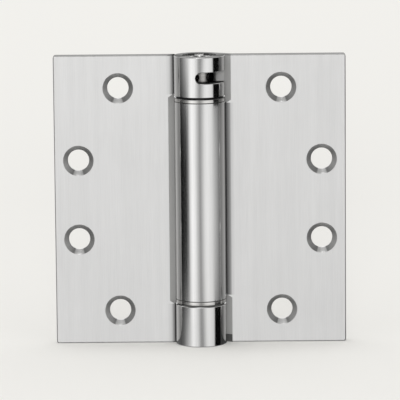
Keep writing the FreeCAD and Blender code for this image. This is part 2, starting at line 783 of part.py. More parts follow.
make_barrel_leaf()
make_knuckle_leaf()
make_bearing("upper_bearing", False)
make_bearing("lower_bearing", True)
make_thrust_washer("upper_thrust_washer", False)
make_thrust_washer("lower_thrust_washer", True)
make_collar()
make_spindle()
make_retaining_ring("spindle_retaining_ring", False)
make_retaining_ring("pivot_retaining_ring", True)
make_spring_seat("upper_spring_washer", "seat_foot", "seat_top")
make_spring_seat("lower_spring_washer", "-anchor_top", "-lower_seat_top")
make_anchor()
make_pivot()
make_cross_pin("anchor_pin", "anchor_pin_level")
make_cross_pin("pivot_pin", "pivot_pin_level")
make_end_plugs()
make_spring()
doc.recompute()
check_document()
export_pieces()
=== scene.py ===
import bpy
import math
from mathutils import Matrix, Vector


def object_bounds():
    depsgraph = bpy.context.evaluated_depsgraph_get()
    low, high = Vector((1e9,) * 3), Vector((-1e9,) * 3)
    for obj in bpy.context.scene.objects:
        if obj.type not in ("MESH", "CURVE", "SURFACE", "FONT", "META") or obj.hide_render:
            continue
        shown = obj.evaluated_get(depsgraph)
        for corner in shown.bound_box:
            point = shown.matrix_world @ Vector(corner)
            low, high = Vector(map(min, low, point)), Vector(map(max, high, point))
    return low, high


# Spring hinge, shown open flat and standing on its lower edge. Metres, front towards -Y.
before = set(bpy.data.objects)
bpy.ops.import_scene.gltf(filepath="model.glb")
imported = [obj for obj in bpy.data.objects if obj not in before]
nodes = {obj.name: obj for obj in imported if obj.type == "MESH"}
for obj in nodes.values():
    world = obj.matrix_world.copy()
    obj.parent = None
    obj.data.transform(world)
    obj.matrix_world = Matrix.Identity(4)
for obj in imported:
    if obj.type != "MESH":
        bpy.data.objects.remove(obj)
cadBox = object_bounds()
bpy.ops.object.select_all(action="DESELECT")
print("hinge loaded:", len(nodes), "pieces")


# Short ways to build node trees, used by every material below
def addNode(tree, kind, spot, **settings):
    node = tree.nodes.new(kind)
    node.location = (spot[0] * 220, -spot[1] * 180)
    for key, setting in settings.items():
        setattr(node, key, setting)
    return node


def setSockets(node, **values):
    for name, number in values.items():
        node.inputs[name.replace("_", " ")].default_value = number
    return node


def addGroup(tree, spot, group, **values):
    return setSockets(addNode(tree, "ShaderNodeGroup", spot, node_tree=group), **values)


def joinUp(tree, *pairs):
    for start, end in pairs:
        tree.links.new(start, end)


def addMath(tree, operation, spot, first, second=None, third=None):
    node = addNode(tree, "ShaderNodeMath", spot, operation=operation)
    for index, item in enumerate((first, second, third)):
        if isinstance(item, (int, float)):
            node.inputs[index].default_value = item
        elif item is not None:
            tree.links.new(item, node.inputs[index])
    return node.outputs[0]


def multiplyAll(tree, spot, factors):
    product = factors[0]
    for number, factor in enumerate(factors[1:]):
        product = addMath(tree, "MULTIPLY", (spot[0] + number, spot[1]), product, factor)
    return product


# Where each point lies along X, Y and Z
def readPlace(tree, spot):
    place = addNode(tree, "ShaderNodeTexCoord", spot)
    parts = addNode(tree, "ShaderNodeSeparateXYZ", (spot[0] + 1, spot[1]))
    joinUp(tree, (place.outputs["Object"], parts.inputs[0]))
    return parts.outputs["X"], parts.outputs["Y"], parts.outputs["Z"]


# The same with the height left out, so measured straight out from the hinge's axis
def readFromAxis(tree, spot):
    place = addNode(tree, "ShaderNodeTexCoord", spot)
    flat = addNode(tree, "ShaderNodeVectorMath", (spot[0] + 1, spot[1]), operation="MULTIPLY")
    flat.inputs[1].default_value = (1.0, 1.0, 0.0)
    joinUp(tree, (place.outputs["Object"], flat.inputs[0]))
    return flat.outputs["Vector"]


def newGroup(name, inputs, outputs):
    group = bpy.data.node_groups.new(name, "ShaderNodeTree")
    for label, kind, start in inputs:
        socket = group.interface.new_socket(label, in_out="INPUT", socket_type=kind)
        socket.default_value = start
    for label, kind in outputs:
        group.interface.new_socket(label, in_out="OUTPUT", socket_type=kind)
    entry = addNode(group, "NodeGroupInput", (-4, 0))
    leaving = addNode(group, "NodeGroupOutput", (5, 0))
    return group, entry, leaving


# Measures of the patterns, the same in every material that uses them
patternShape = {
    "broadShare": 0.7,          # how strongly the broad belt lines join the fine ones
    "boreSoftness": 0.00005,
    "lineCore": 0.6,            # a joint's line is darkest within this part of its half width
    "sideCentre": 0.22,         # the side shade is centred this far in front of the axis, in radii
    "sideDark": 0.38,           # dark within this distance of its centre, and gone at the next one
    "sideClear": 0.46,
}


# Lines left by the polishing belt, all running up the hinge
def makeBeltGrain():
    group, entry, leaving = newGroup(
        "beltGrain",
        [
            ("Fine Lines", "NodeSocketFloat", 2600.0),
            ("Broad Lines", "NodeSocketFloat", 420.0),
            ("Stretch", "NodeSocketFloat", 0.03),
            ("Contrast", "NodeSocketFloat", 0.5),
        ],
        [("Tone", "NodeSocketFloat"), ("Height", "NodeSocketFloat")],
    )
    place = addNode(group, "ShaderNodeTexCoord", (-4, 2))
    squeeze = addNode(group, "ShaderNodeCombineXYZ", (-3, 2))
    setSockets(squeeze, X=1.0, Y=1.0)
    scaled = addNode(group, "ShaderNodeVectorMath", (-2, 1), operation="MULTIPLY")
    fine = addNode(group, "ShaderNodeTexNoise", (-1, 0))
    setSockets(fine, Detail=3.0, Roughness=0.6)
    broad = addNode(group, "ShaderNodeTexNoise", (-1, 2))
    setSockets(broad, Detail=2.0, Roughness=0.5)
    joinUp(
        group,
        (entry.outputs["Stretch"], squeeze.inputs["Z"]),
        (place.outputs["Object"], scaled.inputs[0]),
        (squeeze.outputs["Vector"], scaled.inputs[1]),
        (scaled.outputs["Vector"], fine.inputs["Vector"]),
        (scaled.outputs["Vector"], broad.inputs["Vector"]),
        (entry.outputs["Fine Lines"], fine.inputs["Scale"]),
        (entry.outputs["Broad Lines"], broad.inputs["Scale"]),
    )
    fineAway = addMath(group, "SUBTRACT", (1, 0), fine.outputs["Fac"], 0.5)
    broadAway = addMath(group, "SUBTRACT", (1, 2), broad.outputs["Fac"], 0.5)
    both = addMath(group, "MULTIPLY_ADD", (2, 1), broadAway, patternShape["broadShare"], fineAway)
    tone = addMath(group, "MULTIPLY_ADD", (3, 1), both, entry.outputs["Contrast"], 0.5)
    joinUp(
        group,
        (tone, leaving.inputs["Tone"]),
        (fine.outputs["Fac"], leaving.inputs["Height"]),
    )
    return group


# Soft clouds of handling and old polish
def makeSoftClouds():
    group, entry, leaving = newGroup(
        "softClouds",
        [("Size", "NodeSocketFloat", 30.0), ("Amount", "NodeSocketFloat", 0.3)],
        [("Tone", "NodeSocketFloat")],
    )
    place = addNode(group, "ShaderNodeTexCoord", (-4, 2))
    cloud = addNode(group, "ShaderNodeTexNoise", (-1, 1))
    setSockets(cloud, Detail=4.0, Roughness=0.55, Distortion=0.4)
    joinUp(
        group,
        (place.outputs["Object"], cloud.inputs["Vector"]),
        (entry.outputs["Size"], cloud.inputs["Scale"]),
    )
    away = addMath(group, "SUBTRACT", (1, 1), cloud.outputs["Fac"], 0.5)
    tone = addMath(group, "MULTIPLY_ADD", (2, 1), away, entry.outputs["Amount"], 0.5)
    joinUp(group, (tone, leaving.inputs["Tone"]))
    return group


# Fine rings left by a lathe or by grinding, out from the hinge's axis and up along it
def makeTurnedRings():
    group, entry, leaving = newGroup(
        "turnedRings",
        [("Rings", "NodeSocketFloat", 900.0)],
        [("Tone", "NodeSocketFloat")],
    )
    reach = addNode(group, "ShaderNodeVectorMath", (-1, 1), operation="LENGTH")
    travel = addMath(group, "ADD", (1, 1), readPlace(group, (-4, 3))[2], reach.outputs["Value"])
    line = addNode(group, "ShaderNodeTexNoise", (2, 1), noise_dimensions="1D")
    setSockets(line, Detail=3.0, Roughness=0.6)
    joinUp(
        group,
        (readFromAxis(group, (-4, 1)), reach.inputs[0]),
        (travel, line.inputs["W"]),
        (entry.outputs["Rings"], line.inputs["Scale"]),
        (line.outputs["Fac"], leaving.inputs["Tone"]),
    )
    return group


# Painted shade within a given distance of the hinge's axis, where a bore lies in shadow
def makeBoreShade():
    group, entry, leaving = newGroup(
        "boreShade",
        [("Reach", "NodeSocketFloat", 0.006), ("Dark", "NodeSocketFloat", 0.1)],
        [("Shade", "NodeSocketFloat"), ("Distance", "NodeSocketFloat")],
    )
    length = addNode(group, "ShaderNodeVectorMath", (-2, 2), operation="LENGTH")
    outside = addMath(group, "ADD", (-1, 1), entry.outputs["Reach"], patternShape["boreSoftness"])
    fade = addNode(group, "ShaderNodeMapRange", (0, 1))
    joinUp(
        group,
        (readFromAxis(group, (-4, 2)), length.inputs[0]),
        (length.outputs["Value"], fade.inputs["Value"]),
        (entry.outputs["Reach"], fade.inputs["From Min"]),
        (outside, fade.inputs["From Max"]),
        (entry.outputs["Dark"], fade.inputs["To Min"]),
        (fade.outputs["Result"], leaving.inputs["Shade"]),
        (length.outputs["Value"], leaving.inputs["Distance"]),
    )
    return group


# A painted shade line where two pieces meet, at a level measured from the middle of the hinge
def makeJointShade():
    group, entry, leaving = newGroup(
        "jointShade",
        [
            ("Level", "NodeSocketFloat", 0.04),
            ("Half Width", "NodeSocketFloat", 0.0002),
            ("Dark", "NodeSocketFloat", 0.3),
        ],
        [("Shade", "NodeSocketFloat")],
    )
    height = readPlace(group, (-4, 2))[2]
    away = addMath(group, "SUBTRACT", (-1, 2), height, entry.outputs["Level"])
    away = addMath(group, "ABSOLUTE", (0, 2), away)
    core = addMath(group, "MULTIPLY", (1, 1), entry.outputs["Half Width"], patternShape["lineCore"])
    fade = addNode(group, "ShaderNodeMapRange", (2, 1))
    joinUp(
        group,
        (away, fade.inputs["Value"]),
        (core, fade.inputs["From Min"]),
        (entry.outputs["Half Width"], fade.inputs["From Max"]),
        (entry.outputs["Dark"], fade.inputs["To Min"]),
        (fade.outputs["Result"], leaving.inputs["Shade"]),
    )
    return group


# Painted shade to the left and right of the axis, where a round piece turns in beside the leaves
def makeSideShade():
    group, entry, leaving = newGroup(
        "sideShade",
        [("Dark", "NodeSocketFloat", 0.55)],
        [("Shade", "NodeSocketFloat")],
    )
    unit = addNode(group, "ShaderNodeVectorMath", (-2, 2), operation="NORMALIZE")
    parts = addNode(group, "ShaderNodeSeparateXYZ", (-1, 2))
    away = addMath(group, "ADD", (0, 2), parts.outputs["Y"], patternShape["sideCentre"])
    away = addMath(group, "ABSOLUTE", (1, 2), away)
    fade = addNode(group, "ShaderNodeMapRange", (2, 1))
    setSockets(fade, From_Min=patternShape["sideDark"], From_Max=patternShape["sideClear"])
    joinUp(
        group,
        (readFromAxis(group, (-4, 2)), unit.inputs[0]),
        (unit.outputs["Vector"], parts.inputs[0]),
        (away, fade.inputs["Value"]),
        (entry.outputs["Dark"], fade.inputs["To Min"]),
        (fade.outputs["Result"], leaving.inputs["Shade"]),
    )
    return group


beltGrain = makeBeltGrain()
softClouds = makeSoftClouds()
turnedRings = makeTurnedRings()
boreShade = makeBoreShade()
jointShade = makeJointShade()
sideShade = makeSideShade()
print("grain, cloud, lathe and shade patterns made")


def startMaterial(name):
    material = bpy.data.materials.new(name)
    material.use_nodes = True
    tree = material.node_tree
    shader = tree.nodes["Principled BSDF"]
    shader.location = (1400, 0)
    return material, tree, shader


# Grain or rings with soft clouds added, as the mask between a finish's darker and lighter colour
def mixTones(tree, lines, clouds, cloudShare):
    mask = addMath(tree, "MULTIPLY_ADD", (2, 1), clouds, cloudShare, -cloudShare / 2)
    return addMath(tree, "ADD", (3, 1), mask, lines)


def blendColors(tree, spot, mask, darker, lighter):
    mix = addNode(tree, "ShaderNodeMix", spot, data_type="RGBA")
    mix.inputs[6].default_value = (*darker, 1.0)
    mix.inputs[7].default_value = (*lighter, 1.0)
    joinUp(tree, (mask, mix.inputs[0]))
    return mix.outputs[2]


def shadeColor(tree, color, shade):
    toned = addNode(tree, "ShaderNodeVectorMath", (5, 0), operation="SCALE")
    joinUp(tree, (color, toned.inputs[0]), (shade, toned.inputs["Scale"]))
    return toned.outputs[0]


# Roughness that a pattern takes half its spread above the plain value and half below
def varyRoughness(tree, spot, tone, roughness, spread):
    return addMath(tree, "MULTIPLY_ADD", spot, tone, spread, roughness - spread / 2)


def addBump(tree, shader, height, depth, strength):
    bump = addNode(tree, "ShaderNodeBump", (5, 4))
    setSockets(bump, Strength=strength, Distance=depth)
    joinUp(tree, (height, bump.inputs["Height"]), (bump.outputs["Normal"], shader.inputs["Normal"]))


def dress(material, *names):
    for name in names:
        slots = nodes[name].data.materials
        slots.clear()
        slots.append(material)


# Satin stainless leaves, smoother where the sheet is rolled round the barrel
leafLook = {
    "dark": (0.74, 0.737, 0.728),
    "light": (0.90, 0.897, 0.888),
    "flatRoughness": 0.36,
    "rollRoughness": 0.09,
    "roughnessSpread": 0.06,
    "rollFade": (0.0101, 0.0104),    # the rolled part ends between these distances from the axis
    # Painted shade in the bore, on the sides of the roll and along the joints
    "boreReach": 0.00663,
    "boreDark": 0.4,
    "sideDark": 0.56,
    "joints": [(0.03915, 0.00022), (-0.03915, 0.00022), (0.04138, 0.00014)],    # rings and upper washer
    "jointDark": 0.25,
    "fineLines": 2600.0,
    "broadLines": 420.0,
    "lineStretch": 0.03,
    "grainContrast": 0.6,
    "grainDepth": 0.000004,
    "grainBump": 0.35,
    "cloudSize": 34.0,
    "cloudAmount": 0.9,
    "cloudShare": 0.5,
}

# The matt grey face where the sheet turns back from the flat leaf to the barrel
bendLook = {
    "tone": 0.56,
    "roughness": 0.5,
    "metallic": 0.4,
    "angle": 28.65,
    "rise": 0.0066,
    "riseFade": (0.00012, 0.0003),
    "behind": 0.00083,               # it starts just behind the front of the flat leaf
    # Painted shade across the stretch behind the slot, darker nearer the axis
    "slotTones": [(0.0062, 0.85), (0.0066, 1.02), (0.0078, 1.08)],    # the stretch behind the slot
    "slotStart": 0.0062,
    "slotEnd": 0.012,
    "slotFade": (0.0099, 0.0105),
    "footShadowTone": 0.25,                # painted shadow at the very foot of the right leaf
    "footLevel": -0.0541,
}

# Painted shade in the cuts: the line between the rolled tip and its root, and the root's end beside the
# rings
cutLook = {
    "seamRise": 0.00653,
    "seamHalf": 0.0001,
    "seamReach": 0.0099,             # the line stays nearer to the axis than this
    "stubStart": 0.00771,
    "stubHalf": 0.00003,
    "stubReach": 0.0102,             # and the root's end lies further out than this
    "dark": 0.25,
}

# Painted shade on the edges of the leaves that face the other leaf's knuckles or barrel, listed from the
# gap outwards
notchLook = {
    "left": [
        (0.0104, 0.12), (0.01048, 0.25), (0.0109, 0.40), (0.0113, 0.62), (0.0117, 0.80), (0.0121, 0.89),
        (0.0127, 0.93), (0.0133, 1.0),
    ],
    "right": [
        (0.0104, 0.12), (0.01048, 0.17), (0.0107, 0.21), (0.0111, 0.27), (0.0115, 0.39), (0.0119, 0.48),
        (0.0122, 0.84), (0.0127, 0.90), (0.0136, 1.0),
    ],
    "nearest": 0.0103,
    "farthest": 0.02,
    "deepest": 0.0043,
    "level": 0.0399,
    "clear": 0.0017,
}

# Painted shade on the cut faces round the tension pin's slot
slotLook = {"level": 0.049, "half": 0.0023, "inside": 0.0097, "front": -0.0002, "dark": 0.06}

# The cut upper ends of the sheet are matt and darkened with painted shade: the flat leaf's edge, and the
# rim of its rolled end
edgeLook = {"leafLevel": 0.05672, "rimLevel": 0.05705, "reach": 0.0103, "tone": 0.40}

# Countersinks: the cone's painted shade and painted highlight by clock angle, from the side away from the
# barrel towards the top
sinkLook = {
    "inner": (0.0319, 0.04415),
    "outer": (0.0477, 0.01565),
    "between": 0.0398,
    "behind": 0.00084,
    "rimFade": (0.00598, 0.0061),
    "rings": 5200.0,
    "ringFade": (0.42, 0.62),
    "ringDark": 0.2,
    "tones": [
        (-180, 0.50), (-155, 0.58), (-130, 0.60), (-112, 0.48), (-107, 1.14), (-72, 1.14), (-66, 0.50),
        (-50, 0.75), (-30, 0.82), (0, 0.80), (14, 0.70), (30, 0.58), (90, 0.62), (120, 0.54), (150, 0.48),
    ],
}


# A mask that is one inside the low value and falls to nothing at the high one
def fallOff(tree, spot, source, low, high):
    fall = addNode(tree, "ShaderNodeMapRange", spot, interpolation_type="SMOOTHSTEP")
    setSockets(fall, From_Min=low, From_Max=high, To_Min=1.0, To_Max=0.0)
    joinUp(tree, (source, fall.inputs["Value"]))
    return fall.outputs["Result"]


# A mask that is one within a given distance of a centre
def nearTo(tree, spot, source, centre, half):
    away = addMath(tree, "SUBTRACT", spot, source, centre)
    away = addMath(tree, "ABSOLUTE", (spot[0] + 1, spot[1]), away)
    return addMath(tree, "LESS_THAN", (spot[0] + 2, spot[1]), away, half)


# Tones read off along a line that runs from the lowest place to the highest
def addTones(tree, spot, source, tones, lowest, highest):
    span = highest - lowest
    position = addMath(tree, "MULTIPLY_ADD", spot, source, 1 / span, -lowest / span)
    ramp = addNode(tree, "ShaderNodeValToRGB", (spot[0] + 1, spot[1]))
    stops = ramp.color_ramp.elements
    stops.remove(stops[1])
    for index, (place, tone) in enumerate(tones):
        stopAt = (place - lowest) / span
        stop = stops.new(stopAt) if index else stops[0]
        stop.position = stopAt
        stop.color = (tone, tone, tone, 1.0)
    joinUp(tree, (position, ramp.inputs["Fac"]))
    return ramp.outputs["Color"]


# A factor that is one, or the given tone where the mask is one
def toneWhere(tree, spot, mask, tone):
    apart = tone - 1.0 if isinstance(tone, float) else addMath(tree, "SUBTRACT", spot, tone, 1.0)
    return addMath(tree, "MULTIPLY_ADD", (spot[0] + 1, spot[1]), mask, apart, 1.0)


# Painted shade lines at several joints, each given by its level and half its width
def addJoints(tree, spot, joints, dark):
    product = 1.0
    column, row = spot
    for number, (level, half) in enumerate(joints):
        joint = addGroup(tree, (column, row + number), jointShade, Level=level, Half_Width=half, Dark=dark)
        product = addMath(tree, "MULTIPLY", (column + 1, row + number), joint.outputs["Shade"], product)
    return product


# How far a point lies behind the axis, and out along the root, once the root's slope is taken off
def followSlope(tree, look, across, depth):
    angle = math.radians(look["angle"])
    rise = addMath(tree, "MULTIPLY", (1, 6), across, math.sin(angle))
    rise = addMath(tree, "MULTIPLY_ADD", (2, 6), depth, math.cos(angle), rise)
    along = addMath(tree, "MULTIPLY", (1, 7), across, math.cos(angle))
    along = addMath(tree, "MULTIPLY_ADD", (2, 7), depth, -math.sin(angle), along)
    return rise, along


def maskBend(tree, look, rise, depth):
    away = addMath(tree, "ABSOLUTE", (4, 6), addMath(tree, "SUBTRACT", (3, 6), rise, look["rise"]))
    near = fallOff(tree, (5, 6), away, *look["riseFade"])
    behind = addMath(tree, "GREATER_THAN", (5, 7), depth, look["behind"])
    return addMath(tree, "MULTIPLY", (6, 6), near, behind)


def maskCuts(tree, look, rise, along, reach, inSlot):
    seam = nearTo(tree, (3, 24), rise, look["seamRise"], look["seamHalf"])
    rolled = addMath(tree, "LESS_THAN", (5, 25), reach, look["seamReach"])
    closed = addMath(tree, "SUBTRACT", (5, 26), 1.0, inSlot)
    seam = multiplyAll(tree, (6, 24), [seam, rolled, closed])
    stub = nearTo(tree, (3, 27), along, look["stubStart"], look["stubHalf"])
    outside = addMath(tree, "GREATER_THAN", (5, 27), reach, look["stubReach"])
    return addMath(tree, "MAXIMUM", (8, 25), seam, addMath(tree, "MULTIPLY", (7, 27), stub, outside))


def maskTopEdge(tree, look, height, reach):
    onRim = addMath(tree, "GREATER_THAN", (3, 28), height, look["rimLevel"])
    onLeaf = addMath(tree, "GREATER_THAN", (3, 29), height, look["leafLevel"])
    outside = addMath(tree, "GREATER_THAN", (3, 30), reach, look["reach"])
    return addMath(tree, "MAXIMUM", (5, 29), onRim, addMath(tree, "MULTIPLY", (4, 29), onLeaf, outside))


def maskSlot(tree, look, inSlot, depth, reach):
    inFront = addMath(tree, "LESS_THAN", (3, 19), depth, look["front"])
    inside = addMath(tree, "LESS_THAN", (3, 20), reach, look["inside"])
    return multiplyAll(tree, (4, 18), [inSlot, inFront, inside])


# One mask for each part of a leaf that has a finish of its own
def maskLeaf(tree, side, depth, height, across, reach):
    rise, along = followSlope(tree, bendLook, across, depth)
    onBend = maskBend(tree, bendLook, rise, depth)
    inSlot = nearTo(tree, (0, 18), height, slotLook["level"], slotLook["half"])
    nearRoll = fallOff(tree, (4, 20), reach, *bendLook["slotFade"])
    pastStart = addMath(tree, "GREATER_THAN", (4, 21), side, bendLook["slotStart"])
    behindSlot = multiplyAll(tree, (5, 22), [nearRoll, inSlot, onBend])
    throughSlot = addMath(tree, "MULTIPLY", (7, 22), behindSlot, pastStart)
    deepInSlot = addMath(tree, "SUBTRACT", (8, 22), behindSlot, throughSlot)
    slotWalls = maskSlot(tree, slotLook, inSlot, depth, reach)
    return {
        "roll": fallOff(tree, (3, 3), reach, *leafLook["rollFade"]),
        "bend": onBend,
        "throughSlot": throughSlot,
        "slot": addMath(tree, "MAXIMUM", (9, 22), slotWalls, deepInSlot),
        "cuts": maskCuts(tree, cutLook, rise, along, reach, inSlot),
        "top": maskTopEdge(tree, edgeLook, height, reach),
    }


# The bend's matt grey, with painted shade behind the slot and a painted shadow at the right leaf's foot
def toneBend(tree, look, onBend, side, height, throughSlot):
    onRight = addMath(tree, "GREATER_THAN", (3, 22), side, 0.0)
    atFoot = addMath(tree, "LESS_THAN", (4, 22), height, look["footLevel"])
    atRightFoot = addMath(tree, "MULTIPLY", (5, 22), atFoot, onRight)
    slotTone = addTones(tree, (3, 20), side, look["slotTones"], 0.0, look["slotEnd"])
    slotTone = toneWhere(tree, (5, 21), throughSlot, slotTone)
    footShadowTone = toneWhere(tree, (6, 22), atRightFoot, look["footShadowTone"])
    tone = multiplyAll(tree, (7, 21), [slotTone, footShadowTone, look["tone"]])
    return toneWhere(tree, (9, 21), onBend, tone)


# The painted shade lies only beside the other leaf: between the rings on the right leaf, and past them on
# the left one
def toneNotch(tree, look, side, depth, level, reach):
    left = addTones(tree, (1, 12), reach, look["left"], 0.0, look["farthest"])
    right = addTones(tree, (1, 13), reach, look["right"], 0.0, look["farthest"])
    onRight = addMath(tree, "GREATER_THAN", (1, 16), side, 0.0)
    apart = addMath(tree, "SUBTRACT", (3, 13), right, left)
    tones = addMath(tree, "MULTIPLY_ADD", (4, 13), apart, onRight, left)
    flip = addMath(tree, "MULTIPLY", (1, 15), addMath(tree, "SIGN", (0, 15), side), -1.0)
    away = addMath(tree, "SUBTRACT", (2, 15), level, look["level"])
    away = addMath(tree, "MULTIPLY", (3, 15), away, flip)
    beside = addMath(tree, "GREATER_THAN", (4, 15), away, look["clear"])
    inFront = addMath(tree, "LESS_THAN", (4, 16), depth, look["deepest"])
    outside = addMath(tree, "GREATER_THAN", (4, 17), reach, look["nearest"])
    mask = multiplyAll(tree, (5, 15), [beside, inFront, outside])
    return toneWhere(tree, (7, 14), mask, tones)


# How far a point lies from the middle of its screw hole. The leaves mirror each other, and so do
# their upper and lower halves, so one inner and one outer hole stand for all eight
def readFromHole(tree, look, across, level):
    (innerSide, innerRise), (outerSide, outerRise) = look["inner"], look["outer"]
    isOuter = addMath(tree, "GREATER_THAN", (0, 8), across, look["between"])
    holeSide = addMath(tree, "MULTIPLY_ADD", (1, 8), isOuter, outerSide - innerSide, innerSide)
    holeRise = addMath(tree, "MULTIPLY_ADD", (1, 9), isOuter, outerRise - innerRise, innerRise)
    awaySide = addMath(tree, "SUBTRACT", (2, 8), across, holeSide)
    awayRise = addMath(tree, "SUBTRACT", (2, 9), level, holeRise)
    return awaySide, awayRise


# Painted shade round each countersink's cone with a painted highlight at its foot, crossed by turning
# lines
def toneSinks(tree, look, across, depth, height, level):
    awaySide, awayRise = readFromHole(tree, look, across, level)
    squared = addMath(tree, "MULTIPLY", (3, 8), awaySide, awaySide)
    squared = addMath(tree, "MULTIPLY_ADD", (4, 8), awayRise, awayRise, squared)
    hole = addMath(tree, "SQRT", (5, 8), squared)
    above = addMath(tree, "MULTIPLY", (3, 11), awayRise, addMath(tree, "SIGN", (2, 11), height))
    clock = addMath(tree, "ARCTAN2", (4, 10), above, awaySide)
    clock = addMath(tree, "DEGREES", (5, 10), clock)
    tones = addTones(tree, (6, 10), clock, look["tones"], -180, 180)
    cuts = addNode(tree, "ShaderNodeTexNoise", (6, 12), noise_dimensions="1D")
    setSockets(cuts, Scale=look["rings"], Detail=1.0)
    joinUp(tree, (hole, cuts.inputs["W"]))
    lines = fallOff(tree, (7, 12), cuts.outputs["Fac"], *look["ringFade"])
    lines = toneWhere(tree, (8, 12), lines, 1.0 - look["ringDark"])
    cone = addMath(tree, "MULTIPLY", (9, 11), tones, lines)
    inHole = fallOff(tree, (6, 8), hole, *look["rimFade"])
    behind = addMath(tree, "GREATER_THAN", (6, 9), depth, look["behind"])
    mask = addMath(tree, "MULTIPLY", (7, 8), inHole, behind)
    return toneWhere(tree, (10, 9), mask, cone)


# All the leaf's painted shade multiplied together, with the bend's grey and the countersinks' painted
# highlight
def shadeLeaf(tree, look, masks, bore, side, depth, height, across):
    level = addMath(tree, "ABSOLUTE", (0, 7), height)
    joint = addJoints(tree, (0, 24), look["joints"], look["jointDark"])
    sides = addGroup(tree, (0, 5), sideShade, Dark=look["sideDark"])
    rollShade = addMath(tree, "MULTIPLY", (5, 5), joint, sides.outputs["Shade"])
    return multiplyAll(tree, (12, 8), [
        bore.outputs["Shade"],
        toneWhere(tree, (6, 5), masks["roll"], rollShade),
        toneBend(tree, bendLook, masks["bend"], side, height, masks["throughSlot"]),
        toneNotch(tree, notchLook, side, depth, level, bore.outputs["Distance"]),
        toneWhere(tree, (10, 18), masks["slot"], slotLook["dark"]),
        toneWhere(tree, (10, 24), masks["cuts"], cutLook["dark"]),
        toneWhere(tree, (10, 29), masks["top"], edgeLook["tone"]),
        toneSinks(tree, sinkLook, across, depth, height, level),
    ])


# Cut faces take no polish, and the bend takes only some
def polishLeaf(tree, masks):
    dull = addMath(tree, "MAXIMUM", (6, 2), masks["cuts"], masks["throughSlot"])
    dull = addMath(tree, "MAXIMUM", (7, 2), masks["slot"], dull)
    dull = addMath(tree, "MAXIMUM", (7, 1), dull, masks["top"])
    bright = addMath(tree, "SUBTRACT", (8, 2), 1.0, dull)
    bent = toneWhere(tree, (6, 1), masks["bend"], bendLook["metallic"])
    return addMath(tree, "MULTIPLY", (9, 2), bent, bright)


# Smoothest on the roll, roughest on the bend, and a little different along each line of the grain
def roughenLeaf(tree, look, masks, lines):
    smoother = look["rollRoughness"] - look["flatRoughness"]
    rolled = addMath(tree, "MULTIPLY_ADD", (4, 3), masks["roll"], smoother, look["flatRoughness"])
    bent = addNode(tree, "ShaderNodeMix", (5, 4))
    bent.inputs[3].default_value = bendLook["roughness"]
    joinUp(tree, (masks["bend"], bent.inputs[0]), (rolled, bent.inputs[2]))
    lined = varyRoughness(tree, (5, 3), lines, 0.0, look["roughnessSpread"])
    return addMath(tree, "ADD", (6, 3), lined, bent.outputs[0])


def makeLeafSteel(look):
    material, tree, shader = startMaterial("leafSteel")
    grain = addGroup(
        tree, (0, 0), beltGrain, Fine_Lines=look["fineLines"], Broad_Lines=look["broadLines"],
        Stretch=look["lineStretch"], Contrast=look["grainContrast"],
    )
    clouds = addGroup(tree, (0, 2), softClouds, Size=look["cloudSize"], Amount=look["cloudAmount"])
    bore = addGroup(tree, (0, 3), boreShade, Reach=look["boreReach"], Dark=look["boreDark"])
    side, depth, height = readPlace(tree, (-2, 4))
    across = addMath(tree, "ABSOLUTE", (0, 6), side)
    masks = maskLeaf(tree, side, depth, height, across, bore.outputs["Distance"])
    shade = shadeLeaf(tree, look, masks, bore, side, depth, height, across)
    mix = mixTones(tree, grain.outputs["Tone"], clouds.outputs["Tone"], look["cloudShare"])
    color = blendColors(tree, (4, 0), mix, look["dark"], look["light"])
    joinUp(
        tree,
        (shadeColor(tree, color, shade), shader.inputs["Base Color"]),
        (polishLeaf(tree, masks), shader.inputs["Metallic"]),
        (roughenLeaf(tree, look, masks, grain.outputs["Tone"]), shader.inputs["Roughness"]),
    )
    shader.inputs["Specular IOR Level"].default_value = 0.0
    addBump(tree, shader, grain.outputs["Height"], look["grainDepth"], look["grainBump"])
    return material


dress(makeLeafSteel(leafLook), "barrel_leaf", "knuckle_leaf")
print("leaves dressed")


